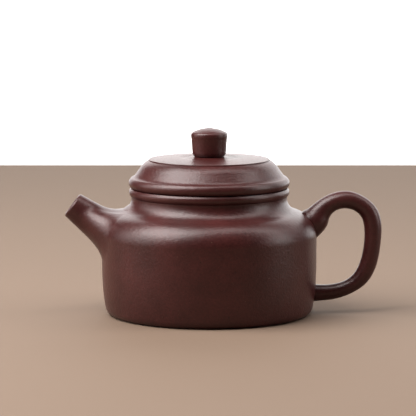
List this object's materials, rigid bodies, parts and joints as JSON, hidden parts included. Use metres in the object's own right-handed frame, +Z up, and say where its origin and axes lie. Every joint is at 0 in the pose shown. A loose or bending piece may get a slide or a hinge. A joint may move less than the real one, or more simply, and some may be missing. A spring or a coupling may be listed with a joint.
{
  "type": "yixing clay teapot",
  "caption": "Small drum-bodied unglazed clay teapot with a short tapered spout, an ear-shaped handle and a seated lift-off lid with a cone knob.",
  "frame": {"origin": "centre of the ring that the pot rests on, on the axis of the round body", "axes": "+Z up along the body's axis; +X towards the handle, so the spout points along -X; XZ is the plane of symmetry"},
  "size_m": [0.1272, 0.0862, 0.0747],
  "materials": {
    "purple_clay": "satin"
  },
  "bodies": {
    "pot": {"base_slab": "purple_clay", "body_wall": "purple_clay", "shoulder_slab": "purple_clay", "neck_collar": "purple_clay", "mouth_ring": "purple_clay", "spout": "purple_clay", "spout_strainer": "purple_clay", "handle": "purple_clay"},
    "lid_seat": {"lid_flange": "purple_clay"},
    "lid": {"lid_rim": "purple_clay", "lid_dome": "purple_clay", "lid_disc": "purple_clay", "lid_knob": "purple_clay"}
  },
  "joints": [
    {"name": "lid_lift", "type": "slide", "parent": "pot", "child": "lid_seat", "axis": [0, 0, 1], "range_m": [0, 0.045]},
    {"name": "lid_turn", "type": "hinge", "parent": "lid_seat", "child": "lid", "pos_m": [0, 0, 0.05095], "axis": [0, 0, 1], "continuous": true}
  ]
}
